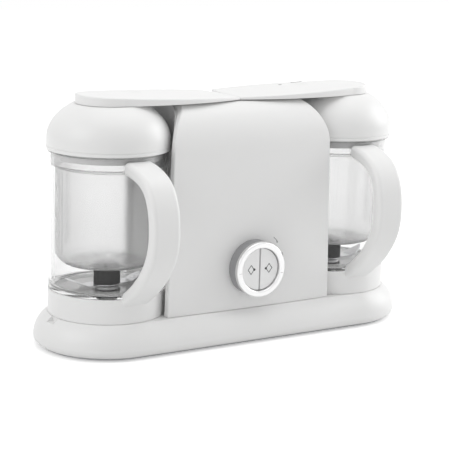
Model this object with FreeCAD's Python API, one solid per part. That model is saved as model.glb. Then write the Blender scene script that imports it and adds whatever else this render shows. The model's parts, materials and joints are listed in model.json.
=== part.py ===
import FreeCAD, Part
import math
import os

# Twin-bowl baby food maker: two clear blender bowls stand on one base, one each side of a
# middle column that holds two steam boilers, two motors and the controls.
# Millimetres, X to the right, Y to the back, Z up. The sizes below are measured from the
# line through the two bowl axes; the finished pieces are then shifted to the middle in Y.

# Bowl places and clearances
bowl_x = 126.3          # bowl axis from the middle of the machine
mould_wall = 2.4        # moulded shells
rest_gap = 0.3          # between pieces that lift or swing apart
fit_gap = 0.1           # between fixed pieces that fit in one another
run_gap = 0.05          # radial, shafts in their bearings
over = 1.0              # cutting forms run past the faces they cut

# Base
base_h = 32.0
base_r = 68.5           # widest, at the belly line
base_belly_z = 9.5
base_top_r = 56.3
base_foot_r = 64.5
shell_z = 3.2           # lower edge of the base shell
plate_r = 62.0
plate_t = 2.0
foot_r = 8.0
foot_inset = 13.0       # foot centre from the edge of the base plate
foot_out = 1.2          # how far the rubber stands below the plate
foot_edge_r = 0.5
notch_wide = 12.0       # dip in the base beside the outer edge of each bowl
notch_deep = 4.5
notch_in = 4.0          # notch from the edge of the base's top
screw_r = 2.0
screw_head_r = 3.4
screw_head_t = 1.2
screw_sink = 0.2        # heads below the face of the plate
post_r = 4.5
post_cap = 2.0          # solid end of a screw post
post_out = 22.0         # outer screw posts, from the bowl axes
post_back = 43.0        # screw posts, from the middle line of the base
gland_z = 13.0
gland_r = 5.2
gland_bore_r = 3.3
gland_flange_r = 7.6
gland_flange_t = 2.0
gland_back = 3.4        # inner flange from the inside of the belly
vent_count = 7
vent_long = 44.0
vent_wide = 2.6
vent_pitch = 6.0

# Front cover
cover_front = -54.6     # middle of the front face
cover_crown_r = 2026.0  # slight bow of the front face, seen from above
cover_half_low = 90.1
cover_half_high = 85.7
cover_corner_r = 54.0   # rounded top corners
cover_roll_up = 42.6    # height of the rounded corners and of the rolled top
cover_roll_back = 32.0  # the front rolls back this far to the top
cover_rear = 1.0        # level edge behind the roll
cover_drop = 1.0        # below the arms
cover_depth = 6.5       # front to back edge of the sides
cover_lip = 3.4         # depth of the edge at the top
cover_slit = 5.0        # shadow gap behind the sides
cover_edge_r = 1.4
cover_gap = 0.6         # between the cover's back edge and the housing

# Rear housing
housing_drop = 2.0      # below the arms
housing_in = 1.0        # inside the outline of the cover
housing_back = 50.0
housing_corner_r = 14.0
scoop_gap = 3.5         # between a lid and the housing
neck_half = 72.0
neck_drop = 7.4         # below the cover's rounded corners
louvre_count = 6
louvre_long = 34.0
louvre_high = 3.0
louvre_pitch = 8.0
louvre_z = 62.0
louvre_x = 25.5         # middle of each row of slots

# Boilers
tank_x = 38.0
tank_y = 5.0            # boilers behind the line of the bowls
tank_r = 23.0
tank_wall = 0.8
tank_lift = 24.1        # above the motors, for the heater and thermostat
tank_rim_r = 25.6
tank_rim_t = 1.1
heater_t = 8.0
heater_tube_r = 3.2
heater_edge = 2.0       # element ring from the edge of the disc
thermostat_r = 8.0
thermostat_t = 6.0

# Drives
motor_x = 34.0
motor_r = 26.0
motor_h = 58.0
motor_flange_r = 28.5
motor_flange_t = 4.0
motor_edge_r = 3.0
motor_hole_gap = 2.0    # round the motor's pulley, in the base
motor_shaft_r = 3.0
motor_pulley_r = 11.0
spindle_r = 4.0
spindle_pulley_r = 24.0
pulley_z = 13.0
pulley_t = 11.0
pulley_rim = 1.0        # belt guard rims above and below the belt
belt_t = 1.8
bearing_r = 9.0
boss_r = 13.0
boss_h = 6.0
boss_hang = 3.0         # boss below the underside of the base's top
lower_bearing_h = 5.8   # thrust bearing on the base plate
hex_flats = 12.0
hex_h = 9.0
hex_gap = 0.3
coupling_r = 9.5

# Bowl and its holder
skirt_r = 55.0
skirt_top = 55.2
skirt_wall = 2.5
skirt_floor_z = 46.6
skirt_floor_hole_r = 14.0
bowl_r_low = 54.5
bowl_r_high = 55.8
bowl_wall = 2.6
bowl_floor_z = 56.5
bowl_floor_t = 2.6
bowl_corner_r = 7.0
bowl_rim_drop = 1.6     # bowl rim below the lid
bush_r = 7.2
bush_flange_r = 11.0
bush_flange_t = 2.4
bush_lip = 0.5          # bush above the bowl floor

# Handle
handle_turn = 2.5       # degrees, both handles lean towards the middle
handle_reach = 107.0    # bowl axis to the outside of the grip
handle_wide = 28.0
handle_drop = 2.6       # top of the handle below the bowl's rim
handle_low = 47.5
handle_edge_r = 4.2
handle_root = 3.0       # ends of the strap inside the skirt's face
# along the handle: share of its reach, share of its height from the top, thickness
handle_path = [
    (0.00, 0.000, 12.0),
    (0.43, 0.035, 12.5),
    (0.75, 0.112, 12.5),
    (0.93, 0.235, 13.0),
    (1.00, 0.400, 13.0),
    (0.95, 0.575, 13.0),
    (0.80, 0.700, 12.5),
    (0.50, 0.845, 12.0),
    (0.00, 1.000, 12.0),
]

# Blade
hub_r = 12.5
hub_h = 16.0
hub_lift = 2.0          # underside of the hub above the bowl floor
hub_edge_r = 0.8
blade_r = 42.0
blade_t = 1.2
blade_wide = 15.0
blade_rise = 9.0        # height gained by the upswept tips
blade_bend = 23.0       # where the wings turn up
blade_root = 14.0       # straight part of the cutting edge

# Basket
basket_r = 48.0
basket_wall = 1.6
basket_low = 78.0
basket_corner_r = 13.0
basket_collar_h = 12.0
basket_collar_gap = 0.6
basket_flange_t = 1.2
basket_slots = 12
basket_slot_wide = 2.4
basket_slot_r = 17.0
basket_slot_long = 16.0
basket_ribs = 6
basket_rib_wide = 3.0
basket_rib_out = 1.2
basket_rib_down = 6.0   # ribs end below the shoulder
basket_step = 3.0       # height of the sloped shoulder

# Lid
lid_r = 57.0
lid_top = 226.6
lid_wall = 2.2
lid_rise = 32.4         # flat crown above the upright band
lid_band_h = 9.0
dome_share = 0.81       # how much of a full half oval the dome is
bead_up = 3.2           # groove above the lower edge
bead_wide = 1.2
bead_deep = 0.6
spigot_r = 49.0
spigot_h = 8.0
spigot_wall = 2.0
lid_seal_h = 4.0
lid_seal_up = 1.5       # seal above the end of the spigot
steam_hole_r = 3.0
steam_hole_in = 19.0    # from the lid's middle towards the column

# Arms
arm_rest = 0.4          # above the lid
arm_thin = 2.3          # at the seam between the two arms
arm_slope = 0.040       # rise of the top towards the outer end
arm_seam = 0.5
arm_end_r = 31.0
arm_front_seam = -24.0
arm_front_wide = -36.0
arm_back_wide = 43.0
arm_back_seam = 40.0
arm_edge_r = 1.3
arm_skin = 1.5
arm_base_r = 25.0
arm_base_t = 0.9
seal_wide = 4.0
seal_in = 0.5           # seal from the edge of the tank's rim
pin_r = 6.0
pin_up = 6.0            # pivot pin above the lid
pin_head_out = 2.5
pin_head_t = 1.5
duct_half = 11.0        # half width of the steam duct
duct_end = 20.0         # duct ends from the boiler and from the pin
dimple_x = 92.0         # finger dimple in the top of the arm
dimple_y = 20.0
dimple_r = 46.0
dimple_deep = 1.4

# Controls
knob_z = 72.4
knob_r = 26.5
knob_out = 16.0         # front of the knob from the cover
bezel_t = 4.5
bezel_edge = 1.8
sleeve_in = 0.3         # sleeve inside the edge of the bezel
button_r = 20.0
button_slot = 1.5
button_in = 3.0         # button faces behind the front of the knob
button_t = 5.0
button_travel = 2.5
button_gap = 0.4
button_edge_r = 0.6
stem_r = 2.5
stem_x = 10.0
carrier_neck_r = 14.9
carrier_neck_l = 4.6
switch_deep = 12.0
switch_half = 17.0
board_half = 52.0
board_low = 46.0
board_high = 132.0
board_t = 1.6
spring_wire = 0.7

Z = FreeCAD.Vector(0, 0, 1)
Y = FreeCAD.Vector(0, 1, 0)
ORIGIN = FreeCAD.Vector(0, 0, 0)
sides = (("left", -1), ("right", 1))

# Worked out from the sizes above
row_y = (handle_reach - base_r) / 2.0
dome_z = lid_top - lid_rise
dome_h = lid_rise / dome_share
lid_low = dome_z - lid_band_h
bead_z = lid_low + bead_up
bowl_rim_z = lid_low - bowl_rim_drop
handle_top = bowl_rim_z - handle_drop
arm_low = lid_top + arm_rest
cover_top = arm_low - cover_drop
cover_corner_z = cover_top - cover_roll_up
cover_back_y = cover_front + cover_roll_back + cover_rear
slit_back = cover_front + cover_depth + cover_slit
housing_top = arm_low - housing_drop
neck_top = cover_corner_z - neck_drop
plate_z = foot_out
skirt_low = base_h + rest_gap
knob_front = cover_front - knob_out
scoop_r = lid_r + scoop_gap
bearing_low = base_h - mould_wall - boss_hang
boss_top = base_h + boss_h
driver_low = boss_top + rest_gap
driver_top = driver_low + hex_h
plate_top = plate_z + plate_t
post_top = base_h - mould_wall
hub_low = bowl_floor_z + hub_lift
tank_top = housing_top + tank_rim_t
tank_low = base_h + motor_h + tank_lift
seal_low = tank_top + rest_gap
carrier_front = knob_front + button_in + button_t + button_travel + button_gap
carrier_back = cover_front - fit_gap
switch_front = carrier_back + carrier_neck_l


def vec(x, y, z):
    return FreeCAD.Vector(x, y, z)


def line(a, b):
    return Part.LineSegment(a, b).toShape()


def arc(a, middle, b):
    return Part.Arc(a, middle, b).toShape()


def face(edges):
    return Part.Face(Part.Wire(edges))


def polygon(points):
    return Part.Face(Part.makePolygon(points + [points[0]]))


def block(x0, x1, y0, y1, z0, z1):
    return Part.makeBox(x1 - x0, y1 - y0, z1 - z0, vec(x0, y0, z0))


def rod(r, z0, z1, x=0.0, y=0.0):
    return Part.makeCylinder(r, z1 - z0, vec(x, y, z0))


def rod_y(r, y0, y1, x=0.0, z=0.0):
    return Part.makeCylinder(r, y1 - y0, vec(x, y0, z), Y)


def tube(r_out, r_in, z0, z1, x=0.0, y=0.0):
    return rod(r_out, z0, z1, x, y).cut(rod(r_in, z0 - over, z1 + over, x, y))


def turn(points):
    """Solid of revolution from (radius, height) points."""
    return polygon([vec(r, 0, z) for r, z in points]).revolve(ORIGIN, Z, 360)


def hexagon(flats, z0, z1):
    """Upright hexagonal bar."""
    corner = flats / math.sqrt(3.0)
    points = []
    for step in range(6):
        angle = math.radians(60 * step)
        points.append(vec(corner * math.cos(angle), corner * math.sin(angle), z0))
    return polygon(points).extrude(vec(0, 0, z1 - z0))


def on_side(shape, side):
    """A piece made on the right-hand bowl, moved or mirrored to either side."""
    placed = shape.copy()
    placed.translate(vec(bowl_x, 0, 0))
    if side < 0:
        return placed.mirror(ORIGIN, vec(1, 0, 0))
    return placed


def save(name, shape):
    placed = shape.copy()
    placed.translate(vec(0, row_y, 0))
    placed.exportStep("parts/" + name + ".step")


def belly_arc(r_belly, r_end, z_end):
    """Arc that leaves the belly line upright and ends at the given point."""
    rise = z_end - base_belly_z
    centre = (r_belly ** 2 - r_end ** 2 - rise ** 2) / (2.0 * (r_belly - r_end))
    radius = r_belly - centre
    half = math.atan2(rise, r_end - centre) / 2.0
    middle = vec(centre + radius * math.cos(half), 0, base_belly_z + radius * math.sin(half))
    return arc(vec(r_belly, 0, base_belly_z), middle, vec(r_end, 0, z_end))


def base_section(inset, low):
    """Half section of the base, from its middle to its rounded side."""
    top = base_h - inset
    r_top = base_top_r - inset
    r_foot = base_foot_r - inset
    lower = belly_arc(base_r - inset, r_foot, low)
    upper = belly_arc(base_r - inset, r_top, top)
    start = line(vec(0, 0, low), vec(r_foot, 0, low))
    lid = line(vec(r_top, 0, top), vec(0, 0, top))
    middle = line(vec(0, 0, top), vec(0, 0, low))
    return Part.Face(Part.Wire(Part.__sortEdges__([start, lower, upper, lid, middle])))


def lozenge(section):
    """Carry a half section round both bowl centres and along the straight sides."""
    forward = section.copy()
    forward.rotate(ORIGIN, Z, -90)
    backward = section.copy()
    backward.rotate(ORIGIN, Z, 90)
    right = forward.revolve(ORIGIN, Z, 180)
    right.translate(vec(bowl_x, 0, 0))
    left = backward.revolve(ORIGIN, Z, 180)
    left.translate(vec(-bowl_x, 0, 0))
    pieces = [left]
    for half in (forward, backward):
        half.translate(vec(-bowl_x, 0, 0))
        pieces.append(half.extrude(vec(2 * bowl_x, 0, 0)))
    return right.fuse(pieces).removeSplitter()


def slab(r, z0, z1):
    """Flat plate with the outline of the base."""
    corners = [vec(0, 0, z0), vec(r, 0, z0), vec(r, 0, z1), vec(0, 0, z1)]
    return lozenge(polygon(corners))


def post_places():
    """Where screws hold the base plate to the base shell."""
    places = []
    for across in (-1, 1):
        for along in (-bowl_x - post_out, 0.0, bowl_x + post_out):
            places.append((along, across * post_back))
    return places


def notch_block(side, wall):
    """The dip beside a bowl, or with a wall the solid corner that it is cut from."""
    near = side * (bowl_x + base_top_r - notch_in - wall)
    far = side * (bowl_x + base_r)
    low = base_h - notch_deep - wall
    return block(min(near, far), max(near, far), -notch_wide - wall, wall, low, base_h + over)


def base_shell():
    form = lozenge(base_section(0.0, shell_z))
    shell = form.cut(lozenge(base_section(mould_wall, shell_z - over)))
    shell = shell.fuse([rod(post_r, plate_top, post_top + fit_gap, x, y) for x, y in post_places()])
    for name, side in sides:
        boss = rod(boss_r, bearing_low, boss_top, side * bowl_x)
        shell = shell.fuse([boss, notch_block(side, mould_wall).common(form)])
    cuts = [rod(screw_r, 0, post_top - post_cap, x, y) for x, y in post_places()]
    for name, side in sides:
        cuts.append(rod(bearing_r + fit_gap, bearing_low - over, boss_top + over, side * bowl_x))
        hole_r = motor_pulley_r + motor_hole_gap
        cuts.append(rod(hole_r, bearing_low - over, base_h + over, side * motor_x))
        cuts.append(notch_block(side, 0.0).cut(rod(skirt_r, 0, base_h + 2 * over, side * bowl_x)))
    inside = base_r - mould_wall - gland_back
    cuts.append(rod_y(gland_r, inside - gland_flange_t, base_r + over, 0, gland_z))
    return shell.cut(cuts).removeSplitter()


def foot_places():
    """Rubber feet under both ends of the base plate."""
    reach = plate_r - foot_inset
    places = []
    for across in (-1, 1):
        for along in (-bowl_x, bowl_x):
            places.append((along, across * reach))
    return places


def base_plate():
    """Flat underside with vents, foot and screw sinks, and a thrust bearing for each spindle."""
    plate = slab(plate_r, plate_z, plate_top)
    cuts = []
    for name, side in sides:
        plate = plate.fuse(rod(bearing_r, plate_top, plate_top + lower_bearing_h, side * bowl_x))
        cuts.append(rod(spindle_r + run_gap, plate_top, pulley_z, side * bowl_x))
    for x, y in post_places():
        cuts.append(rod(screw_r + fit_gap, 0, plate_top + over, x, y))
        cuts.append(rod(screw_head_r + fit_gap, 0, plate_z + screw_head_t, x, y))
    for x, y in foot_places():
        cuts.append(rod(foot_r + fit_gap, 0, plate_z + plate_t / 2.0, x, y))
    first = -vent_pitch * (vent_count - 1) / 2.0
    for step in range(vent_count):
        y = first + step * vent_pitch - vent_wide / 2.0
        cuts.append(block(-vent_long / 2.0, vent_long / 2.0, y, y + vent_wide, 0, plate_top + over))
    return plate.cut(cuts)


def rubber_feet():
    pads = [rod(foot_r, 0, plate_z + plate_t / 2.0, x, y) for x, y in foot_places()]
    return Part.makeCompound([pad.makeFillet(foot_edge_r, [pad.Edges[2]]) for pad in pads])


def base_screws():
    screws = []
    for x, y in post_places():
        head = rod(screw_head_r, plate_z + screw_sink, plate_z + screw_head_t, x, y)
        shank = rod(screw_r, plate_z + screw_head_t, base_h / 2.0, x, y)
        screws.append(head.fuse(shank).removeSplitter())
    return Part.makeCompound(screws)


def cord_gland():
    """Bare lead inlet in the back of the base."""
    inside = base_r - mould_wall - gland_back
    ring = rod_y(gland_r - fit_gap, inside, base_r - rest_gap, 0, gland_z)
    flange = rod_y(gland_flange_r, inside - gland_flange_t, inside, 0, gland_z)
    bore = rod_y(gland_bore_r, inside - gland_flange_t - over, base_r + over, 0, gland_z)
    return ring.fuse(flange).cut(bore).removeSplitter()


def cover_outline(grow, low, high):
    """Front view of the cover: tapered sides that flow into rounded top corners, grown outwards."""
    half_low = cover_half_low + grow
    centre = cover_half_high - cover_corner_r
    radius = cover_corner_r + grow
    across = half_low - centre
    down = low - cover_corner_z
    turn_from = math.atan2(down, across) + math.acos(radius / math.hypot(across, down))
    turn_to = math.asin((high - cover_corner_z) / radius)
    spots = []
    for angle in (turn_from, (turn_from + turn_to) / 2.0, turn_to):
        spots.append((centre + radius * math.cos(angle), cover_corner_z + radius * math.sin(angle)))
    right = [vec(x, 0, z) for x, z in spots]
    left = [vec(-x, 0, z) for x, z in spots]
    edges = [line(vec(-half_low, 0, low), vec(half_low, 0, low)), line(vec(half_low, 0, low), right[0])]
    edges.append(arc(right[0], right[1], right[2]))
    edges.append(line(right[2], left[2]))
    edges.append(arc(left[2], left[1], left[0]))
    edges.append(line(left[0], vec(-half_low, 0, low)))
    return face(edges)


def roll_arc(deep, lip):
    """Quarter oval of the rolled top, inside the cover's face by these depths."""
    y = cover_front + cover_roll_back
    top = vec(0, y, cover_top - lip)
    front = vec(0, cover_front + deep, cover_corner_z)
    oval = Part.Ellipse(top, front, vec(0, y, cover_corner_z))
    return Part.ArcOfEllipse(oval, 0, math.pi / 2.0).toShape(), top, front


def cover_profile(grow, deep, lip, rear, low):
    """Side view of the cover's front and rolled top, back to the given depths."""
    back_y = cover_back_y + rear
    outer, out_top, out_front = roll_arc(-grow, -grow)
    inner, in_top, in_front = roll_arc(deep, lip)
    out_low = vec(0, out_front.y, low)
    in_low = vec(0, in_front.y, low)
    edges = [line(out_low, out_front), outer, line(out_top, vec(0, back_y, out_top.z))]
    edges.append(line(vec(0, back_y, out_top.z), vec(0, back_y, in_top.z)))
    edges += [line(vec(0, back_y, in_top.z), in_top), inner, line(in_front, in_low)]
    edges.append(line(in_low, out_low))
    return Part.Face(Part.Wire(Part.__sortEdges__(edges)))


def cover_form(grow, deep, lip, rear):
    """The cover's outer shape, grown outwards or inwards, with its bowed front."""
    wide = cover_half_low + cover_roll_back
    low = base_h + rest_gap - max(grow, 0.0)
    across = cover_outline(grow, low, cover_top + grow + over)
    across.translate(vec(0, -wide, 0))
    front_view = across.extrude(vec(0, 2 * wide, 0))
    bow_axis = vec(0, cover_front + cover_crown_r, 0)
    bow = math.degrees(math.asin(wide / cover_crown_r))
    profile = cover_profile(grow, deep, lip, rear, low)
    profile.rotate(bow_axis, Z, -bow)
    return front_view.common(profile.revolve(bow_axis, Z, 2 * bow))


def front_cover():
    """Moulded front: a bowed face that rolls back to the top, open behind and below."""
    skin = cover_form(0.0, cover_depth, cover_lip, 0.0)
    front = [e for e in skin.Edges if e.BoundBox.YMin < cover_front + cover_depth / 2.0]
    rim = [e for e in front if e.BoundBox.ZLength > 2 * cover_depth]
    skin = skin.makeFillet(cover_edge_r, rim)
    hollow = cover_form(-mould_wall, cover_depth + mould_wall, cover_lip + mould_wall, mould_wall)
    open_low = hollow.copy()
    open_low.translate(vec(0, 0, -mould_wall))
    shell = skin.cut(hollow.fuse(open_low))
    neck_hole = rod_y(carrier_neck_r + fit_gap, knob_front, cover_front + cover_depth, 0, knob_z)
    return shell.cut(neck_hole)


def housing_form(inset, z0, z1):
    """Middle column just inside the cover's outline, scooped out round both bowls."""
    front = slit_back - over + inset
    back = housing_back - inset
    outline = cover_outline(-housing_in - inset, z0, z1)
    outline.translate(vec(0, front, 0))
    half = cover_half_high - housing_in - inset
    plan = block(-half, half, front, back, z0, z1)
    rear = [e for e in plan.Edges if e.BoundBox.YMin > 0]
    upright = [e for e in rear if e.BoundBox.ZLength > (z1 - z0) / 2.0]
    plan = plan.makeFillet(housing_corner_r - inset, upright)
    column = outline.extrude(vec(0, back - front, 0)).common(plan)
    for name, side in sides:
        column = column.cut(rod(scoop_r + inset, z0 - over, z1 + over, side * bowl_x))
    return column


def housing_neck(inset, z0, z1):
    """Narrower front of the column, which fills the cover from behind."""
    bow = neck_half ** 2 / (2.0 * cover_crown_r)
    front = cover_front + mould_wall + rest_gap + bow
    half = neck_half - inset
    return block(-half, half, front, slit_back + mould_wall, z0, z1)


def louvres():
    """Rows of air slots in the back of the housing."""
    slots = []
    for across in (-1, 1):
        x = across * louvre_x - louvre_long / 2.0
        y = housing_back - mould_wall - over
        for step in range(louvre_count):
            z = louvre_z + step * louvre_pitch
            slots.append(block(x, x + louvre_long, y, housing_back + over, z, z + louvre_high))
    return slots


def rear_housing():
    """Hollow column behind the cover, with the boilers' holes in its top."""
    column = housing_form(0.0, base_h, housing_top)
    inside = housing_form(mould_wall, base_h - over, housing_top - mould_wall)
    deep = cover_depth + cover_slit
    lip = cover_lip + cover_gap
    cover_room = cover_form(deep, deep, lip, cover_gap)
    wall_room = cover_form(deep, deep + mould_wall, lip + mould_wall, cover_gap + mould_wall)
    shell = column.cut(cover_room).cut(inside.cut(wall_room))
    neck = housing_neck(0.0, base_h, neck_top)
    neck_inside = housing_neck(mould_wall, base_h - over, neck_top - mould_wall)
    neck_inside.translate(vec(0, -mould_wall, 0))
    passage = neck_inside.copy()
    passage.translate(vec(0, 2 * mould_wall, 0))
    shell = shell.fuse(neck).cut([neck_inside, passage])
    cuts = louvres()
    for name, side in sides:
        cuts.append(rod(tank_r + fit_gap, tank_low, housing_top + over, side * tank_x, tank_y))
    return shell.cut(cuts).removeSplitter()


def boiler_tank():
    """Steel cup that hangs by its rim in the top of the housing."""
    points = [(0, tank_low), (tank_r, tank_low), (tank_r, housing_top), (tank_rim_r, housing_top)]
    points += [(tank_rim_r, tank_top), (tank_r - tank_wall, tank_top)]
    points += [(tank_r - tank_wall, tank_low + tank_wall), (0, tank_low + tank_wall)]
    return turn(points)


def heater():
    """Heating disc with its element ring, pressed on the underside of a tank."""
    middle = tank_low - heater_t / 2.0
    ring_r = tank_r - heater_edge
    disc = rod(tank_r, middle, tank_low)
    ring = tube(ring_r, ring_r - 2 * heater_tube_r, tank_low - heater_t, middle)
    return disc.fuse(ring).removeSplitter()


def thermostats():
    """Round thermostats inside the element rings."""
    cans = []
    top = tank_low - heater_t / 2.0
    for name, side in sides:
        cans.append(rod(thermostat_r, top - thermostat_t, top, side * tank_x, tank_y))
    return Part.makeCompound(cans)


def motor():
    """Upright motor on its flange, open below for the pulley shaft."""
    can = rod(motor_r, base_h + motor_flange_t, base_h + motor_h)
    can = can.makeFillet(motor_edge_r, [can.Edges[0]])
    flange = rod(motor_flange_r, base_h, base_h + motor_flange_t)
    bore = rod(motor_shaft_r + run_gap, base_h - over, base_h + motor_h / 2.0)
    return can.fuse(flange).cut(bore).removeSplitter()


def pulley(r):
    """Belt wheel with a low rim above and below the belt."""
    high = pulley_z + pulley_t
    points = [(0, pulley_z), (r + pulley_rim, pulley_z), (r + pulley_rim, pulley_z + pulley_rim)]
    points += [(r, pulley_z + pulley_rim), (r, high - pulley_rim), (r + pulley_rim, high - pulley_rim)]
    points += [(r + pulley_rim, high), (0, high)]
    return turn(points)


def motor_pulley():
    """Small belt wheel on the motor's shaft."""
    shaft = rod(motor_shaft_r, pulley_z, base_h + motor_h / 2.0 - over)
    return pulley(motor_pulley_r).fuse(shaft).removeSplitter()


def drive_spindle():
    """Spindle under a bowl: belt wheel, shaft and hexagonal driver."""
    shaft = rod(spindle_r, plate_top + rest_gap, driver_low)
    driver = hexagon(hex_flats, driver_low, driver_top)
    return pulley(spindle_pulley_r).fuse([shaft, driver]).removeSplitter()


def spindle_bearings():
    """Plain bushes in the bosses under the bowls."""
    bushes = []
    for name, side in sides:
        bushes.append(tube(bearing_r, spindle_r + run_gap, bearing_low, boss_top, side * bowl_x))
    return Part.makeCompound(bushes)


def belt_loop(grow, z0, z1):
    """Solid inside of a belt's path round both pulleys, on the right-hand side."""
    small = motor_pulley_r + grow
    big = spindle_pulley_r + grow
    span = bowl_x - motor_x
    lean = math.acos((big - small) / span)
    ends = []
    for r, x in ((big, 0.0), (small, -span)):
        dx = -r * math.cos(lean)
        dy = r * math.sin(lean)
        ends.append((vec(x + dx, dy, z0), vec(x + dx, -dy, z0)))
    edges = [arc(ends[0][0], vec(big, 0, z0), ends[0][1]), line(ends[0][1], ends[1][1])]
    edges.append(arc(ends[1][1], vec(-span - small, 0, z0), ends[1][0]))
    edges.append(line(ends[1][0], ends[0][0]))
    return face(edges).extrude(vec(0, 0, z1 - z0))


def drive_belt():
    """Flat belt from a motor to its spindle."""
    z0 = pulley_z + pulley_rim + rest_gap
    z1 = pulley_z + pulley_t - pulley_rim - rest_gap
    return belt_loop(fit_gap + belt_t, z0, z1).cut(belt_loop(fit_gap, z0 - over, z1 + over))


def handle_points():
    """Outer and inner points of the handle, seen from the side."""
    start = skirt_r - handle_root
    reach = handle_reach - start
    height = handle_top - handle_low
    outer = []
    for out, down, thick in handle_path:
        outer.append(vec(start + out * reach, 0, handle_top - down * height))
    inner = []
    last = len(outer) - 1
    for i, spot in enumerate(outer):
        along = outer[min(i + 1, last)] - outer[max(i - 1, 0)]
        along.normalize()
        thick = handle_path[i][2]
        inner.append(vec(spot.x + along.z * thick, 0, spot.z - along.x * thick))
    return outer, inner


def handle():
    """Strap handle that springs from the bowl's rim and runs down into the skirt."""
    outer, inner = handle_points()
    curves = []
    for points in (outer, inner[::-1]):
        curve = Part.BSplineCurve()
        curve.interpolate(points)
        curves.append(curve.toShape())
    edges = [curves[0], line(outer[-1], inner[-1]), curves[1], line(inner[0], outer[0])]
    strap = face(edges)
    strap.translate(vec(0, -handle_wide / 2.0, 0))
    strap = strap.extrude(vec(0, handle_wide, 0))
    half_way = (handle_top - handle_low) / 2.0
    long_edges = [e for e in strap.Edges if e.BoundBox.ZLength > half_way]
    strap = strap.makeFillet(handle_edge_r, long_edges)
    strap.rotate(ORIGIN, Z, -90 - handle_turn)
    return strap


def bowl_holder():
    """White skirt under the clear bowl, in one piece with the handle."""
    floor_top = skirt_floor_z + mould_wall
    inner = skirt_r - skirt_wall
    points = [(skirt_r, skirt_low), (skirt_r, skirt_top), (inner, skirt_top), (inner, floor_top)]
    points += [(skirt_floor_hole_r, floor_top), (skirt_floor_hole_r, skirt_floor_z)]
    points += [(inner, skirt_floor_z), (inner, skirt_low)]
    skirt = turn(points)
    in_wall = skirt_r - skirt_wall / 2.0
    step = skirt_top + fit_gap
    high = bowl_r_high + fit_gap
    points = [(0, skirt_low), (in_wall, skirt_low), (in_wall, step), (bowl_r_low + fit_gap, step)]
    points += [(high, bowl_rim_z), (high, lid_top), (0, lid_top)]
    return skirt.fuse(handle().cut(turn(points))).removeSplitter()


def clear_bowl():
    """Clear bowl with a spigot that stands in the skirt."""
    low = skirt_floor_z + mould_wall + fit_gap
    spigot = skirt_r - skirt_wall - rest_gap
    under = bowl_floor_z - bowl_floor_t
    step = skirt_top + fit_gap
    inner_low = bowl_r_low - bowl_wall
    inner_high = bowl_r_high - bowl_wall
    corner = bowl_corner_r
    bend = corner * (1.0 - math.sqrt(0.5))
    outline = [(inner_high, bowl_rim_z), (bowl_r_high, bowl_rim_z), (bowl_r_low, step), (spigot, step)]
    outline += [(spigot, low), (spigot - bowl_wall, low), (spigot - bowl_wall, under)]
    outline += [(bush_r + fit_gap, under), (bush_r + fit_gap, bowl_floor_z)]
    outline += [(inner_low - corner, bowl_floor_z)]
    spots = [vec(r, 0, z) for r, z in outline]
    edges = [line(a, b) for a, b in zip(spots, spots[1:])]
    bottom = vec(inner_low - bend, 0, bowl_floor_z + bend)
    wall = vec(inner_low, 0, bowl_floor_z + corner)
    edges.append(arc(spots[-1], bottom, wall))
    edges.append(line(wall, spots[0]))
    return face(edges).revolve(ORIGIN, Z, 360)


def shaft_bush():
    """Bush and seal for the blade shaft in the floor of the bowl."""
    under = bowl_floor_z - bowl_floor_t
    flange_low = under - bush_flange_t
    top = bowl_floor_z + bush_lip
    bore = spindle_r + run_gap
    points = [(bore, flange_low), (bush_flange_r, flange_low), (bush_flange_r, under)]
    points += [(bush_r, under), (bush_r, top), (bore, top)]
    return turn(points)


def blade_hub():
    """Black hub that carries the blades, with the shaft through the bowl floor."""
    hub = rod(hub_r, hub_low, hub_low + hub_h)
    hub = hub.makeFillet(hub_edge_r, [hub.Edges[0]])
    shaft = rod(spindle_r, driver_top + rest_gap, hub_low)
    return hub.fuse(shaft).removeSplitter()


def blade_coupling():
    """Socket on the lower end of the blade shaft, over the spindle's driver."""
    low = driver_low + rest_gap
    high = bowl_floor_z - bowl_floor_t - bush_flange_t - rest_gap
    body = rod(coupling_r, low, high)
    socket = hexagon(hex_flats + 2 * hex_gap, low - over, driver_top + rest_gap)
    return body.cut(socket).cut(rod(spindle_r + fit_gap, low, high + over))


def blade_plan(low):
    """Plan of one wing: straight and then swept-back edge, drawn in to a blunt tip."""
    half = blade_wide / 2.0
    tip = vec(blade_r, half * 0.2, low)
    edges = [line(vec(0, -half, low), vec(blade_root, -half, low))]
    edges.append(arc(vec(blade_root, -half, low), vec(blade_r * 0.86, -half * 0.62, low), tip))
    edges.append(arc(tip, vec(blade_r * 0.6, half * 0.85, low), vec(0, half, low)))
    edges.append(line(vec(0, half, low), vec(0, -half, low)))
    return face(edges)


def blade():
    """Two swept steel blades on one washer, with raised tips."""
    low = hub_low - blade_t
    side_y = -blade_wide / 2.0 - over
    end = blade_r + over
    flat = rod(hub_r - over, low, hub_low)
    points = [vec(0, side_y, low), vec(blade_bend, side_y, low), vec(end, side_y, low + blade_rise)]
    points += [vec(end, side_y, hub_low + blade_rise), vec(blade_bend, side_y, hub_low)]
    points += [vec(0, side_y, hub_low)]
    bent = polygon(points).extrude(vec(0, blade_wide + 2 * over, 0))
    wing = bent.common(blade_plan(low).extrude(vec(0, 0, blade_rise + blade_t + over)))
    other = wing.copy()
    other.rotate(ORIGIN, Z, 180)
    shaft_hole = rod(spindle_r + fit_gap, low - over, hub_low + over)
    return flat.fuse([wing, other]).removeSplitter().cut(shaft_hole)


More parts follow.
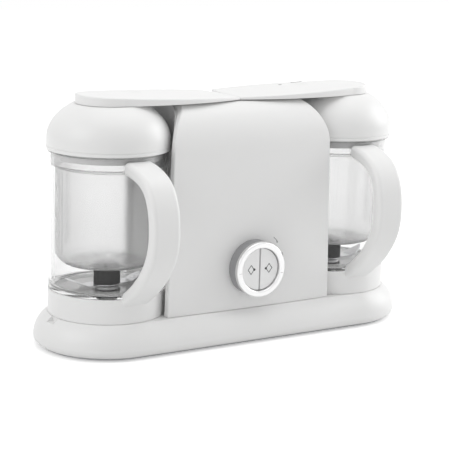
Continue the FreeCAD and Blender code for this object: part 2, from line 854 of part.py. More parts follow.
def basket_section():
    """Half section of the basket's wall: flange, collar, shoulder, side and floor."""
    flange_low = bowl_rim_z + fit_gap
    flange_top = flange_low + basket_flange_t
    collar = bowl_r_high - bowl_wall - basket_collar_gap
    shoulder = flange_low - basket_collar_h
    wall = basket_wall
    low = basket_low
    spring_z = low + basket_corner_r
    centre = basket_r - basket_corner_r
    bend = basket_corner_r * math.sqrt(0.5)
    inner_bend = (basket_corner_r - wall) * math.sqrt(0.5)
    outer = [vec(bowl_r_high, 0, flange_top), vec(bowl_r_high, 0, flange_low), vec(collar, 0, flange_low)]
    outer += [vec(collar, 0, shoulder), vec(basket_r, 0, shoulder - basket_step)]
    outer += [vec(basket_r, 0, spring_z)]
    inner = [vec(basket_r - wall, 0, spring_z), vec(basket_r - wall, 0, shoulder - basket_step + wall / 2.0)]
    inner += [vec(collar - wall, 0, shoulder + wall / 2.0), vec(collar - wall, 0, flange_top)]
    floor = [vec(centre, 0, low), vec(0, 0, low), vec(0, 0, low + wall), vec(centre, 0, low + wall)]
    edges = [arc(outer[-1], vec(centre + bend, 0, spring_z - bend), floor[0])]
    edges.append(arc(floor[-1], vec(centre + inner_bend, 0, spring_z - inner_bend), inner[0]))
    edges.append(line(inner[-1], outer[0]))
    for run in (outer, floor, inner):
        edges += [line(a, b) for a, b in zip(run, run[1:])]
    return Part.Face(Part.Wire(Part.__sortEdges__(edges)))


def steam_basket():
    """Frosted basket that hangs by its flange in the bowl, with slots in its floor."""
    basket = basket_section().revolve(ORIGIN, Z, 360)
    inside = basket_r - basket_wall
    rib_half = basket_rib_wide / 2.0
    rib_top = bowl_rim_z - basket_collar_h - basket_rib_down
    ribs = []
    for step in range(basket_ribs):
        rib = block(inside - basket_rib_out, inside + basket_wall / 2.0, -rib_half, rib_half,
                    basket_low + basket_corner_r, rib_top)
        rib.rotate(ORIGIN, Z, 360.0 * step / basket_ribs)
        ribs.append(rib)
    half = basket_slot_wide / 2.0
    slot_end = basket_slot_r + basket_slot_long
    floor_top = basket_low + basket_wall
    slots = []
    for step in range(basket_slots):
        slot = block(basket_slot_r, slot_end, -half, half, basket_low - over, floor_top + over)
        slot.rotate(ORIGIN, Z, 360.0 * step / basket_slots)
        slots.append(slot)
    return basket.fuse(ribs).cut(slots).removeSplitter()


def dome_arc(r, height, top):
    """Elliptical side of the lid, from its upright band to the given height."""
    oval = Part.Ellipse(vec(r, 0, dome_z), vec(0, 0, dome_z + height), vec(0, 0, dome_z))
    return Part.ArcOfEllipse(oval, 0, math.asin((top - dome_z) / height)).toShape()


def lid():
    """Domed lid with a spigot that closes the basket and the bowl."""
    side = dome_arc(lid_r, dome_h, lid_top)
    under = dome_arc(lid_r - lid_wall, dome_h - lid_wall, lid_top - lid_wall)
    crown = side.Vertexes[-1].Point
    inner_crown = under.Vertexes[-1].Point
    web = lid_low + lid_wall
    bead = bead_wide / 2.0
    groove_r = lid_r - bead_deep
    spots = [(crown.x, lid_top), (pin_r + fit_gap, lid_top), (pin_r + fit_gap, lid_top - lid_wall)]
    spots += [(inner_crown.x, lid_top - lid_wall)]
    upper = [vec(r, 0, z) for r, z in spots]
    spots = [(lid_r - lid_wall, dome_z), (lid_r - lid_wall, web), (spigot_r - spigot_wall, web)]
    spots += [(spigot_r - spigot_wall, lid_low - spigot_h), (spigot_r, lid_low - spigot_h)]
    spots += [(spigot_r, lid_low), (lid_r, lid_low), (lid_r, bead_z - bead)]
    spots += [(groove_r, bead_z - bead / 2.0), (groove_r, bead_z + bead / 2.0)]
    spots += [(lid_r, bead_z + bead), (lid_r, dome_z)]
    lower = [vec(r, 0, z) for r, z in spots]
    edges = [side, under]
    for run in (upper, lower):
        edges += [line(a, b) for a, b in zip(run, run[1:])]
    shell = Part.Face(Part.Wire(Part.__sortEdges__(edges))).revolve(ORIGIN, Z, 360)
    return shell.cut(rod(steam_hole_r, lid_top - lid_wall - over, lid_top + over, -steam_hole_in))


def lid_seal():
    """Soft ring on the lid's spigot, inside the basket's collar."""
    collar = bowl_r_high - bowl_wall - basket_collar_gap - basket_wall
    low = lid_low - spigot_h + lid_seal_up
    return tube(collar - rest_gap, spigot_r + fit_gap, low, low + lid_seal_h)


def pivot_pin():
    """Pin in the lid's middle, on which the arm swings."""
    seat = lid_top - lid_wall - fit_gap
    head = rod(pin_r + pin_head_out, seat - pin_head_t, seat)
    return head.fuse(rod(pin_r, seat, lid_top + pin_up)).removeSplitter()


def arm_outline():
    """Plan of the right-hand arm about its own bowl axis, as a face at arm_low."""
    seam_r = bowl_x - arm_seam / 2.0
    seam_back = vec(-math.sqrt(seam_r ** 2 - arm_back_seam ** 2), arm_back_seam, arm_low)
    half_angle = math.asin(arm_back_seam / seam_r) / 2.0
    seam_bend = vec(-seam_r * math.cos(half_angle), seam_r * math.sin(half_angle), arm_low)
    seam_middle = vec(-seam_r, 0, arm_low)
    seam_front = vec(-seam_r, arm_front_seam, arm_low)
    front = vec(0, -arm_end_r, arm_low)
    back = vec(0, arm_end_r, arm_low)
    edges = [arc(front, vec(arm_end_r, 0, arm_low), back)]
    edges.append(arc(back, vec(-bowl_x / 2.0, arm_back_wide, arm_low), seam_back))
    edges.append(arc(seam_back, seam_bend, seam_middle))
    edges.append(line(seam_middle, seam_front))
    edges.append(arc(seam_front, vec(-bowl_x / 2.0, arm_front_wide, arm_low), front))
    return face(edges)


def arm_top(x):
    """Height of the arm's top, x from the bowl axis towards the outer end."""
    return arm_low + arm_thin + arm_slope * (bowl_x + x)


def arm_wedge(x0, x1, wide, lower, skin):
    """Long block between a level underside and the sloped top, less a skin."""
    points = [vec(x0, -wide, lower), vec(x1, -wide, lower)]
    points += [vec(x1, -wide, arm_top(x1) - skin), vec(x0, -wide, arm_top(x0) - skin)]
    return polygon(points).extrude(vec(0, 2 * wide, 0))


def duct_form(r, z0, z1):
    """Long round-ended form from over the boiler to over the bowl."""
    reach = math.hypot(bowl_x - tank_x, tank_y)
    middle = block(-reach, 0, -r, r, z0, z1)
    form = middle.fuse([rod(r, z0, z1), rod(r, z0, z1, -reach)]).removeSplitter()
    form.rotate(ORIGIN, Z, -math.degrees(math.atan2(tank_y, bowl_x - tank_x)))
    return form


def arm_cover():
    """Flat paddle over one boiler and one lid, with the steam duct's pocket below."""
    high = arm_top(bowl_x)
    plate = arm_outline().extrude(vec(0, 0, high - arm_low))
    plate = plate.common(arm_wedge(-2 * bowl_x, bowl_x, bowl_x, arm_low, 0.0))
    upper = [e for e in plate.Edges if e.BoundBox.ZMin > arm_low + arm_thin / 2.0]
    rim = [e for e in upper if e.BoundBox.XLength + e.BoundBox.YLength > over]
    plate = plate.makeFillet(arm_edge_r, rim)
    pocket = duct_form(arm_base_r + fit_gap, arm_low - over, arm_low + arm_base_t + fit_gap)
    room = arm_wedge(tank_x - bowl_x + duct_end, pin_r - duct_end, bowl_x, arm_low, arm_skin)
    duct = duct_form(duct_half, arm_low, high).common(room)
    socket = rod(pin_r + run_gap, arm_low - over, lid_top + pin_up + rest_gap)
    ball_up = arm_top(dimple_x - bowl_x) + dimple_r - dimple_deep
    dimple = Part.makeSphere(dimple_r, vec(dimple_x - bowl_x, dimple_y, ball_up))
    return plate.cut([pocket, duct, socket, dimple])


def arm_base():
    """Thin plate that closes the steam duct from below."""
    low = arm_low - over
    high = arm_low + arm_base_t + over
    holes = [rod(pin_r + run_gap, low, high), rod(steam_hole_r, low, high, -steam_hole_in)]
    holes.append(rod(2 * steam_hole_r, low, high, tank_x - bowl_x, tank_y))
    return duct_form(arm_base_r, arm_low, arm_low + arm_base_t).cut(holes)


def tank_seal():
    """Soft ring under the arm that closes the boiler."""
    outer = tank_rim_r - seal_in
    return tube(outer, outer - seal_wide, seal_low, arm_low, tank_x - bowl_x, tank_y)


def knob_sleeve():
    """Dark sleeve of the control knob, running on the fixed carrier."""
    back = cover_front - button_gap
    front = knob_front + bezel_t
    sleeve = rod_y(knob_r - sleeve_in, front, back, 0, knob_z)
    front_bore = rod_y(button_r + button_gap, front - over, carrier_front, 0, knob_z)
    back_bore = rod_y(button_r - button_gap + run_gap, front - over, back + over, 0, knob_z)
    return sleeve.cut([front_bore, back_bore])


def knob_bezel():
    """Satin ring on the front of the knob."""
    ring = rod_y(knob_r, knob_front, knob_front + bezel_t, 0, knob_z)
    ring = ring.cut(rod_y(button_r + button_gap, knob_front - over, cover_front, 0, knob_z))
    rim = [e for e in ring.Edges if e.BoundBox.YMax < knob_front + bezel_t / 2.0]
    return ring.makeFillet(bezel_edge, rim)


def button(side):
    """Half-moon push button with its guide stem."""
    front = knob_front + button_in
    back = front + button_t
    disc = rod_y(button_r, front, back, 0, knob_z)
    near = side * button_slot / 2.0
    far = side * 2 * button_r
    keep = block(min(near, far), max(near, far), front - over, back + over, knob_z - button_r - over,
                 knob_z + button_r + over)
    half_moon = disc.common(keep)
    rim = [e for e in half_moon.Edges if e.BoundBox.YMax < front + button_t / 2.0]
    half_moon = half_moon.makeFillet(button_edge_r, rim)
    stem = rod_y(stem_r, back, switch_front - button_travel - rest_gap, side * stem_x, knob_z)
    return half_moon.fuse(stem).removeSplitter()


def button_spring(side):
    """Return spring round a button's stem, as a plain sleeve."""
    y0 = knob_front + button_in + button_t + fit_gap
    y1 = carrier_front - fit_gap
    r_in = stem_r + rest_gap
    coil = rod_y(r_in + spring_wire, y0, y1, side * stem_x, knob_z)
    return coil.cut(rod_y(r_in, y0 - over, y1 + over, side * stem_x, knob_z))


def button_carrier():
    """Fixed disc in the cover that guides the buttons and carries the knob."""
    disc = rod_y(button_r - button_gap, carrier_front, carrier_back, 0, knob_z)
    neck = rod_y(carrier_neck_r, carrier_back, switch_front, 0, knob_z)
    guide_r = stem_r + fit_gap
    cuts = []
    for name, side in sides:
        cuts.append(rod_y(guide_r, carrier_front - over, switch_front + over, side * stem_x, knob_z))
    return disc.fuse(neck).cut(cuts).removeSplitter()


def switch_block():
    """Switches behind the buttons and the knob."""
    return block(-switch_half, switch_half, switch_front, switch_front + switch_deep,
                 knob_z - switch_half, knob_z + switch_half)


def control_board():
    """Circuit board behind the switches."""
    y = switch_front + switch_deep
    return block(-board_half, board_half, y, y + board_t, board_low, board_high)


os.makedirs("parts", exist_ok=True)
fixed = {
    "base_shell": base_shell(),
    "base_plate": base_plate(),
    "rubber_feet": rubber_feet(),
    "base_screws": base_screws(),
    "cord_gland": cord_gland(),
    "front_cover": front_cover(),
    "rear_housing": rear_housing(),
    "thermostats": thermostats(),
    "spindle_bearings": spindle_bearings(),
    "button_carrier": button_carrier(),
    "switch_block": switch_block(),
    "control_board": control_board(),
    "knob_sleeve": knob_sleeve(),
    "knob_bezel": knob_bezel(),
}
over_tank = {"boiler_tank": boiler_tank(), "heater": heater()}
over_motor = {"motor": motor(), "motor_pulley": motor_pulley()}
over_bowl = {
    "drive_spindle": drive_spindle(),
    "drive_belt": drive_belt(),
    "bowl_holder": bowl_holder(),
    "clear_bowl": clear_bowl(),
    "shaft_bush": shaft_bush(),
    "blade_hub": blade_hub(),
    "blade_coupling": blade_coupling(),
    "blade": blade(),
    "steam_basket": steam_basket(),
    "lid": lid(),
    "lid_seal": lid_seal(),
    "pivot_pin": pivot_pin(),
    "arm_cover": arm_cover(),
    "arm_base": arm_base(),
    "tank_seal": tank_seal(),
}
for name, shape in fixed.items():
    save(name, shape)
for hand, side in sides:
    for group, x, y in ((over_tank, tank_x, tank_y), (over_motor, motor_x, 0.0)):
        for name, shape in group.items():
            placed = shape.copy()
            placed.translate(vec(side * x, y, 0))
            save(hand + "_" + name, placed)
    for name, shape in over_bowl.items():
        save(hand + "_" + name, on_side(shape, side))
    save(hand + "_button", button(side))
    save(hand + "_button_spring", button_spring(side))
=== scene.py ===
import json
import math

import bpy
from mathutils import Matrix, Vector


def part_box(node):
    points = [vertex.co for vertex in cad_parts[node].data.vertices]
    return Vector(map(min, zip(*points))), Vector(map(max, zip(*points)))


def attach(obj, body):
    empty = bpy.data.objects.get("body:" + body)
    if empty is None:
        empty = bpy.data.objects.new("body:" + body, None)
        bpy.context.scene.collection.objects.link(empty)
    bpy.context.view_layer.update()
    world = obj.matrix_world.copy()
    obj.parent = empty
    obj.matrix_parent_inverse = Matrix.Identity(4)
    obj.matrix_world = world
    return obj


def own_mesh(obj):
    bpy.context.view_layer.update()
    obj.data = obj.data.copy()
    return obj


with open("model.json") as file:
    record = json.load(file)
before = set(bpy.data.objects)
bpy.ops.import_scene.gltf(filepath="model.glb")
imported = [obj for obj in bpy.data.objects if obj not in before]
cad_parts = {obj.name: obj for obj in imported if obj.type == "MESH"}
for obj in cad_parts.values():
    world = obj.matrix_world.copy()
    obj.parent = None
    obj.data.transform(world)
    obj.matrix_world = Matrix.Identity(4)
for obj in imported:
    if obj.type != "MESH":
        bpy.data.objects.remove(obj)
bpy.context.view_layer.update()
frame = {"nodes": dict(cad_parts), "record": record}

# Baby food maker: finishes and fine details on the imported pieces, in metres, X right, Y back, Z up.

nodes = frame["nodes"]
hands = ("left", "right")
sides = (-1.0, 1.0)     # of the middle, along X, for these hands
mm = 0.001

# Camera, as the photograph was taken
camera_place = Vector((-0.746107, -1.189848, 0.406970))
camera_yaw = math.radians(31.739)      # forward, from +Y towards +X
camera_pitch = math.radians(12.131)    # downwards
camera_roll = math.radians(1.584)
camera_lens = 119.6
camera_sensor = 36.0

# Light and background
floor_size = 8.0
floor_colour = (0.85, 0.85, 0.85, 1.0)
floor_rough = 0.9
floor_lift = 0.42       # share of the floor's white near the object that needs no lamp
floor_away = 0.8        # and the share far from it, where the lamps are weaker
floor_near = 0.35       # distances from the middle where the first share ends
floor_far = 1.2         # and the second begins
white = (1.0, 1.0, 1.0, 1.0)
world_light = 0.54

# Lamps: place, the point that each shines on, size, and power in watts
top_lamp = ((0.1, -0.05, 1.6), (0.0, 0.0, 0.1), 1.4, 7.5)
left_lamp = ((-1.4, -0.1, 0.9), (0.0, 0.0, 0.12), 1.0, 5.5)
right_lamp = ((1.5, -0.3, 0.7), (0.0, 0.0, 0.12), 1.0, 10.0)

# Surfaces
fine_detail = 3.0       # octaves of the grain
slow_detail = 4.0       # and of the drift in gloss and shade
relief_depth = 0.2 * mm
shadow_pass = 0.98      # light that clear plastic lets through to what stands behind it
clear_index = 1.35
clear_bounces = 24      # enough to look along the floor of a bowl
painted_edge_shade = (0.40, 0.40, 0.40, 1.0)                   # painted shade: grey where a clear wall is seen edge on
painted_edge_shade_blend = 0.12

# Marks
facing_front = (math.pi / 2.0, 0.0, 0.0)               # turns a flat mark to face the front
mark_t = 0.3 * mm       # ink and grooves, half of it sunk in the surface
mark_edge = mark_t / 8.0                               # bevel round a mark
icon_x = 9.9 * mm       # diamonds from the slot between the buttons
icon_up = 0.3 * mm      # and above the middle of the knob
icon_half = 3.7 * mm
icon_tall = 1.3         # height of a diamond to its width
icon_line = 0.75 * mm
dot_x = 6.4 * mm
dot_r = 1.2 * mm
dot_sides = 24
arc_r = 34.3 * mm       # printed arcs round the knob, each with a dot at one end
arc_sides = 240         # of the whole circle that an arc is cut from
arc_line = 0.8 * mm
arc_dot_r = 0.9 * mm
arc_spans = ((3.0, 16.0, 16.0), (38.0, 59.0, 38.0))    # from, to and dot, in degrees
split_line = 0.35 * mm  # fine joints in the ring of the knob
split_turns = (184.0, -12.0)                           # where they are, in degrees
ring_round = 1.8 * mm   # rounded edges of that ring
cover_bow = 2.026       # radius of the cover's bowed front
dash_place = (101.3 * mm, 51.8 * mm)                   # marks at the back of the right arm's top
dash_size = (13.0 * mm, 1.4 * mm)
speck_place = (77.2 * mm, 44.6 * mm)
speck_size = (3.0 * mm, 1.6 * mm)
look_down = 10.0 * mm   # height above a top from which its surface is found


def grain_group():
    """Moulded surface: fine grain for the bump, slow drift for the gloss and the shade."""
    group = bpy.data.node_groups.new("moulded_grain", "ShaderNodeTree")
    face = group.interface
    face.new_socket("Vector", in_out="INPUT", socket_type="NodeSocketVector")
    for name in ("Grain", "Drift", "Rough", "Spread", "Shade"):
        face.new_socket(name, in_out="INPUT", socket_type="NodeSocketFloat")
    face.new_socket("Colour", in_out="INPUT", socket_type="NodeSocketColor")
    face.new_socket("Colour", in_out="OUTPUT", socket_type="NodeSocketColor")
    face.new_socket("Roughness", in_out="OUTPUT", socket_type="NodeSocketFloat")
    face.new_socket("Height", in_out="OUTPUT", socket_type="NodeSocketFloat")
    tree = group.nodes
    links = group.links
    given = tree.new("NodeGroupInput")
    result = tree.new("NodeGroupOutput")
    fine = tree.new("ShaderNodeTexNoise")
    fine.inputs["Detail"].default_value = fine_detail
    slow = tree.new("ShaderNodeTexNoise")
    slow.inputs["Detail"].default_value = slow_detail
    for noise, size in ((fine, "Grain"), (slow, "Drift")):
        links.new(given.outputs["Vector"], noise.inputs["Vector"])
        links.new(given.outputs[size], noise.inputs["Scale"])
    off_middle = tree.new("ShaderNodeMath")
    off_middle.operation = "SUBTRACT"
    off_middle.inputs[1].default_value = 0.5
    links.new(slow.outputs["Fac"], off_middle.inputs[0])
    gloss = tree.new("ShaderNodeMath")
    gloss.operation = "MULTIPLY_ADD"
    links.new(off_middle.outputs[0], gloss.inputs[0])
    links.new(given.outputs["Spread"], gloss.inputs[1])
    links.new(given.outputs["Rough"], gloss.inputs[2])
    links.new(gloss.outputs[0], result.inputs["Roughness"])
    shade = tree.new("ShaderNodeMath")
    shade.operation = "MULTIPLY_ADD"
    shade.inputs[2].default_value = 1.0
    links.new(off_middle.outputs[0], shade.inputs[0])
    links.new(given.outputs["Shade"], shade.inputs[1])
    tint = tree.new("ShaderNodeVectorMath")
    tint.operation = "SCALE"
    links.new(given.outputs["Colour"], tint.inputs[0])
    links.new(shade.outputs[0], tint.inputs["Scale"])
    links.new(tint.outputs["Vector"], result.inputs["Colour"])
    links.new(fine.outputs["Fac"], result.inputs["Height"])
    return group


grain = grain_group()


def finish_of(name, colour, rough, grain_size=900.0, bump=0.02, spread=0.08, shade=0.03, drift=18.0):
    """Principled material on object coordinates with the moulded grain, and its shader."""
    material = bpy.data.materials.new(name)
    material.use_nodes = True
    tree = material.node_tree.nodes
    links = material.node_tree.links
    shader = tree["Principled BSDF"]
    place = tree.new("ShaderNodeTexCoord")
    surface = tree.new("ShaderNodeGroup")
    surface.node_tree = grain
    links.new(place.outputs["Object"], surface.inputs["Vector"])
    surface.inputs["Grain"].default_value = grain_size
    surface.inputs["Drift"].default_value = drift
    surface.inputs["Rough"].default_value = rough
    surface.inputs["Spread"].default_value = spread
    surface.inputs["Shade"].default_value = shade
    surface.inputs["Colour"].default_value = (*colour, 1.0)
    links.new(surface.outputs["Colour"], shader.inputs["Base Color"])
    links.new(surface.outputs["Roughness"], shader.inputs["Roughness"])
    relief = tree.new("ShaderNodeBump")
    relief.inputs["Strength"].default_value = bump
    relief.inputs["Distance"].default_value = relief_depth
    links.new(surface.outputs["Height"], relief.inputs["Height"])
    links.new(relief.outputs["Normal"], shader.inputs["Normal"])
    return material, shader


def metal_of(name, colour, rough, **more):
    """Bare or plated metal."""
    material, shader = finish_of(name, colour, rough, **more)
    shader.inputs["Metallic"].default_value = 1.0
    return material


def plastic_of(name, colour, rough, level=0.45, **more):
    """Solid plastic, rubber, lacquer or ink; level is how strongly it mirrors."""
    material, shader = finish_of(name, colour, rough, **more)
    shader.inputs["Specular IOR Level"].default_value = level
    return material


def clear_of(name, colour, rough, share):
    """See-through plastic with painted shade, greyed where it is seen edge on; share is how much of it is
    clear, and most light passes to what is behind.
    """
    material, shader = finish_of(name, colour, rough, bump=0.004, spread=0.01, shade=0.0)
    shader.inputs["Transmission Weight"].default_value = share
    shader.inputs["IOR"].default_value = clear_index
    tree = material.node_tree.nodes
    links = material.node_tree.links
    # Painted shade: the colour turns grey where the wall is seen edge on.
    rim = tree.new("ShaderNodeLayerWeight")
    rim.inputs["Blend"].default_value = painted_edge_shade_blend
    edge_shade_mix = tree.new("ShaderNodeMix")
    edge_shade_mix.data_type = "RGBA"
    links.new(rim.outputs["Facing"], edge_shade_mix.inputs["Factor"])
    links.new(shader.inputs["Base Color"].links[0].from_socket, edge_shade_mix.inputs["A"])
    edge_shade_mix.inputs["B"].default_value = painted_edge_shade
    links.new(edge_shade_mix.outputs["Result"], shader.inputs["Base Color"])
    path = tree.new("ShaderNodeLightPath")
    lit = tree.new("ShaderNodeMath")
    lit.operation = "MULTIPLY"
    lit.inputs[1].default_value = shadow_pass
    links.new(path.outputs["Is Shadow Ray"], lit.inputs[0])
    through = tree.new("ShaderNodeBsdfTransparent")
    mix = tree.new("ShaderNodeMixShader")
    links.new(lit.outputs[0], mix.inputs["Fac"])
    links.new(shader.outputs["BSDF"], mix.inputs[1])
    links.new(through.outputs["BSDF"], mix.inputs[2])
    links.new(mix.outputs["Shader"], tree["Material Output"].inputs["Surface"])
    return material


# Finishes by the record's material slots
finishes = {
    "white_plastic": plastic_of("satin_white", (0.86, 0.86, 0.855), 0.36),
    "grey_plastic": plastic_of("grey_moulding", (0.55, 0.56, 0.57), 0.5, bump=0.06),
    "rubber": plastic_of("foot_rubber", (0.05, 0.05, 0.052), 0.75, bump=0.12, grain_size=500.0),
    "zinc_steel": metal_of("plated_steel", (0.62, 0.63, 0.65), 0.34),
    "brass_bush": metal_of("sintered_bronze", (0.62, 0.45, 0.24), 0.5, bump=0.1),
    "aluminium": metal_of("cast_aluminium", (0.75, 0.75, 0.76), 0.48, bump=0.08),
    "board": plastic_of("board_lacquer", (0.03, 0.16, 0.07), 0.3),
    "dark_sleeve": plastic_of("sleeve_grey", (0.30, 0.30, 0.31), 0.38),
    "satin_silver": metal_of("satin_silver", (0.76, 0.76, 0.76), 0.3, bump=0.01),
    "steel": metal_of("brushed_steel", (0.72, 0.72, 0.73), 0.25),
    "motor_steel": metal_of("motor_can", (0.45, 0.46, 0.48), 0.42),
    "belt_rubber": plastic_of("belt_rubber", (0.02, 0.02, 0.02), 0.7, bump=0.1),
    "clear_plastic": clear_of("clear_bowl", (0.92, 0.92, 0.92), 0.02, 1.0),
    "silicone": plastic_of("silicone", (0.88, 0.88, 0.88), 0.55),
    "black_plastic": plastic_of("hub_black", (0.004, 0.004, 0.004), 0.5, level=0.05),
    "frosted_plastic": clear_of("frosted_basket", (0.96, 0.96, 0.96), 0.18, 0.92),
    # Painted light: the buttons' white is lighter than the body's, to make up for the shade of the ring
    # around them.
    "button_plastic": plastic_of("button_white_painted_light", (0.93, 0.93, 0.93), 0.34),
    "spring_steel": metal_of("spring_wire", (0.6, 0.6, 0.62), 0.3),
}
for row in frame["record"]["subparts"]:
    mesh = nodes[row["node"]].data
    mesh.materials.clear()
    mesh.materials.append(finishes[row["material_slot"]])

# Inks of the marks, and the carrier painted near black for the shade in the slot between the buttons
ink = plastic_of("grey_ink", (0.10, 0.10, 0.10), 0.5)
pale_ink = plastic_of("pale_ink", (0.36, 0.36, 0.36), 0.5)
nodes["button_carrier"].data.materials[0] = plastic_of("carrier_painted_shade", (0.02, 0.02, 0.02), 0.6)


def begin():
    """Nothing selected, ready for a new piece."""
    bpy.ops.object.select_all(action="DESELECT")


def thicken(piece, body, print_with=ink):
    """Give a flat mark its thickness, half in the surface, and let it ride on a body."""
    bpy.ops.object.transform_apply(location=True, rotation=True, scale=True)
    wall = piece.modifiers.new("thickness", "SOLIDIFY")
    wall.thickness = mark_t
    wall.offset = 0.0
    bpy.ops.object.modifier_apply(modifier=wall.name)
    edge = piece.modifiers.new("edge", "BEVEL")
    edge.width = mark_edge
    edge.segments = 1
    bpy.ops.object.modifier_apply(modifier=edge.name)
    piece.data.materials.append(print_with)
    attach(piece, body)


def widen_ring(centre, factor):
    """Turn the new piece's line of edges into a band by pushing a copy of it outwards."""
    bpy.ops.object.mode_set(mode="EDIT")
    bpy.ops.mesh.select_all(action="SELECT")
    bpy.ops.mesh.extrude_edges_move()
    bpy.ops.transform.resize(value=(factor, factor, factor), center_override=centre)
    bpy.ops.object.mode_set(mode="OBJECT")


def round_dot(name, centre, radius, body, print_with):
    """Printed dot that faces the front."""
    begin()
    bpy.ops.mesh.primitive_circle_add(vertices=dot_sides, radius=radius, fill_type="NGON",
                                      location=centre, rotation=facing_front)
    dot = bpy.context.object
    dot.name = name
    thicken(dot, body, print_with)


def button_icon(hand, side):
    """Outlined diamond and dot on a button, the dot towards the slot."""
    face_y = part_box(hand + "_button")[0][1]
    begin()
    centre = (side * icon_x, face_y, knob_z + icon_up)
    bpy.ops.mesh.primitive_circle_add(vertices=4, radius=icon_half - icon_line, fill_type="NOTHING",
                                      location=centre, rotation=facing_front)
    diamond = bpy.context.object
    diamond.name = hand + "_button_diamond"
    diamond.scale = (1.0, icon_tall, 1.0)
    bpy.ops.object.transform_apply(location=True, rotation=True, scale=True)
    widen_ring(centre, icon_half / (icon_half - icon_line))
    thicken(diamond, hand + "_button")
    round_dot(hand + "_button_dot", (side * dot_x, face_y, knob_z + icon_up), dot_r, hand + "_button", ink)


def printed_arc(number, first, last, end):
    """Short printed arc on the cover, beside the knob, with a dot; angles from the right, upwards."""
    cover_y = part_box("front_cover")[0][1] + arc_r ** 2 / (2.0 * cover_bow)
    centre = (0.0, cover_y, knob_z)
    begin()
    bpy.ops.mesh.primitive_circle_add(vertices=arc_sides, radius=arc_r, fill_type="NOTHING",
                                      location=centre, rotation=facing_front)
    piece = bpy.context.object
    piece.name = "knob_arc_" + str(number)
    bpy.ops.object.transform_apply(location=True, rotation=True, scale=True)
    bpy.ops.object.mode_set(mode="EDIT")
    bpy.ops.mesh.select_all(action="DESELECT")
    bpy.ops.object.mode_set(mode="OBJECT")
    for vertex in piece.data.vertices:
        angle = math.degrees(math.atan2(vertex.co.z - knob_z, vertex.co.x))
        vertex.select = not first <= angle <= last
    bpy.ops.object.mode_set(mode="EDIT")
    bpy.ops.mesh.delete(type="VERT")
    bpy.ops.object.mode_set(mode="OBJECT")
    widen_ring(centre, 1.0 + arc_line / arc_r)
    thicken(piece, "frame", pale_ink)
    turn = math.radians(end)
    place = (arc_r * math.cos(turn), cover_y, knob_z + arc_r * math.sin(turn))
    round_dot("knob_arc_dot_" + str(number), place, arc_dot_r, "frame", pale_ink)


def ring_joint(name, angle):
    """Fine joint across the knob's ring, at an angle from the right, upwards."""
    outer = (ring_high[2] - ring_low[2]) / 2.0
    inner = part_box("right_button")[1][0]
    middle = (outer + inner) / 2.0
    turn = math.radians(angle)
    begin()
    bpy.ops.mesh.primitive_plane_add(
        size=1.0, location=(middle * math.cos(turn), ring_low[1], knob_z + middle * math.sin(turn)),
        rotation=(math.pi / 2.0, -turn, 0.0))
    piece = bpy.context.object
    piece.name = name
    piece.scale = (outer - inner - 2.0 * ring_round, split_line, 1.0)
    thicken(piece, "knob", pale_ink)


def top_mark(name, node, body, place, size):
    """Short dark mark on a flat top, laid on its slope."""
    above = Vector((*place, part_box(node)[1][2] + look_down))
    spot, normal = nodes[node].ray_cast(above, Vector((0.0, 0.0, -1.0)))[1:3]
    begin()
    bpy.ops.mesh.primitive_plane_add(size=1.0, location=spot,
                                     rotation=(0.0, math.atan2(normal.x, normal.z), 0.0))
    piece = bpy.context.object
    piece.name = name
    piece.scale = (*size, 1.0)
    thicken(piece, body)


ring_low, ring_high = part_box("knob_bezel")
knob_z = (ring_low[2] + ring_high[2]) / 2.0
for hand, side, angle in zip(hands, sides, split_turns):
    button_icon(hand, side)
    ring_joint(hand + "_ring_joint", angle)
for number, span in enumerate(arc_spans, 1):
    printed_arc(number, *span)
top_mark("right_arm_dash", "right_arm_cover", "right_arm", dash_place, dash_size)
top_mark("right_arm_speck", "right_arm_cover", "right_arm", speck_place, speck_size)


def spring_follows(hand):
    """Give the button's return spring a mesh of its own."""
    spring = nodes[hand + "_button_spring"]
    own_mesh(spring)


for hand in hands:
    spring_follows(hand)


def add_camera():
    """Camera at the photograph's place and angle."""
    flat = math.cos(camera_pitch)
    forward = Vector((math.sin(camera_yaw) * flat, math.cos(camera_yaw) * flat, -math.sin(camera_pitch)))
    level = Vector((math.cos(camera_yaw), -math.sin(camera_yaw), 0.0))
    upright = level.cross(forward)
    right = level * math.cos(camera_roll) + upright * math.sin(camera_roll)
    up = upright * math.cos(camera_roll) - level * math.sin(camera_roll)
    data = bpy.data.cameras.new("camera")
    data.lens = camera_lens
    data.sensor_width = camera_sensor
    camera = bpy.data.objects.new("camera", data)
    bpy.context.scene.collection.objects.link(camera)
    camera.matrix_world = Matrix((
        (right.x, up.x, -forward.x, camera_place.x),
        (right.y, up.y, -forward.y, camera_place.y),
        (right.z, up.z, -forward.z, camera_place.z),
        (0.0, 0.0, 0.0, 1.0)))
    bpy.context.scene.camera = camera


def soft_box(name, place, aim, size, power):
    """Square lamp at a place, turned to shine on a point."""
    data = bpy.data.lights.new(name, "AREA")
    data.shape = "SQUARE"
    data.size = size
    data.energy = power
    lamp = bpy.data.objects.new(name, data)
    bpy.context.scene.collection.objects.link(lamp)
    lamp.location = place
    lamp.rotation_euler = (Vector(aim) - Vector(place)).to_track_quat("-Z", "Y").to_euler()


def looked_at(tree, links):
    """1 where the camera looks, also through something clear or in a mirror, and 0 for plain light."""
    path = tree.new("ShaderNodeLightPath")
    direct = tree.new("ShaderNodeMath")
    direct.operation = "MAXIMUM"
    links.new(path.outputs["Is Camera Ray"], direct.inputs[0])
    links.new(path.outputs["Is Transmission Ray"], direct.inputs[1])
    either = tree.new("ShaderNodeMath")
    either.operation = "MAXIMUM"
    links.new(direct.outputs[0], either.inputs[0])
    links.new(path.outputs["Is Glossy Ray"], either.inputs[1])
    return either.outputs[0]


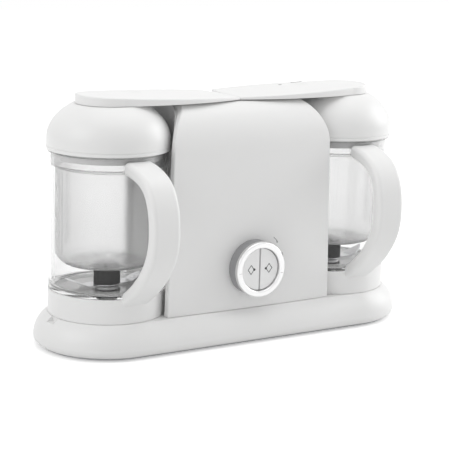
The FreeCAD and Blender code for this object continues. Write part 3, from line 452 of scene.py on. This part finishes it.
def background():
    """White where the camera, a mirror or glass looks, and plain soft light on everything else."""
    world = bpy.data.worlds.new("studio")
    bpy.context.scene.world = world
    world.use_nodes = True
    tree = world.node_tree.nodes
    links = world.node_tree.links
    sky = tree["Background"]
    sky.inputs["Color"].default_value = white
    strength = tree.new("ShaderNodeMapRange")
    strength.inputs["To Min"].default_value = world_light
    strength.inputs["To Max"].default_value = 1.0
    links.new(looked_at(tree, links), strength.inputs["Value"])
    links.new(strength.outputs[0], sky.inputs["Strength"])


def pale_floor():
    """Large floor that shows white and keeps the soft shadow."""
    bpy.ops.mesh.primitive_plane_add(size=floor_size)
    floor = bpy.context.object
    floor.name = "floor"
    material = bpy.data.materials.new("floor")
    material.use_nodes = True
    tree = material.node_tree.nodes
    links = material.node_tree.links
    shader = tree["Principled BSDF"]
    shader.inputs["Base Color"].default_value = floor_colour
    shader.inputs["Roughness"].default_value = floor_rough
    shader.inputs["Specular IOR Level"].default_value = 0.0
    place = tree.new("ShaderNodeTexCoord")
    away = tree.new("ShaderNodeVectorMath")
    away.operation = "LENGTH"
    links.new(place.outputs["Object"], away.inputs[0])
    share = tree.new("ShaderNodeMapRange")
    share.inputs["From Min"].default_value = floor_near
    share.inputs["From Max"].default_value = floor_far
    share.inputs["To Min"].default_value = floor_lift
    share.inputs["To Max"].default_value = floor_away
    links.new(away.outputs["Value"], share.inputs["Value"])
    lift = tree.new("ShaderNodeMath")
    lift.operation = "MULTIPLY"
    links.new(share.outputs[0], lift.inputs[0])
    links.new(looked_at(tree, links), lift.inputs[1])
    shader.inputs["Emission Color"].default_value = white
    links.new(lift.outputs[0], shader.inputs["Emission Strength"])
    floor.data.materials.append(material)


add_camera()
background()
pale_floor()
soft_box("top_lamp", *top_lamp)
soft_box("left_lamp", *left_lamp)
soft_box("right_lamp", *right_lamp)

bpy.context.scene.view_settings.view_transform = "Standard"
bpy.context.scene.cycles.max_bounces = clear_bounces
bpy.context.scene.cycles.glossy_bounces = clear_bounces
bpy.context.scene.cycles.transmission_bounces = clear_bounces
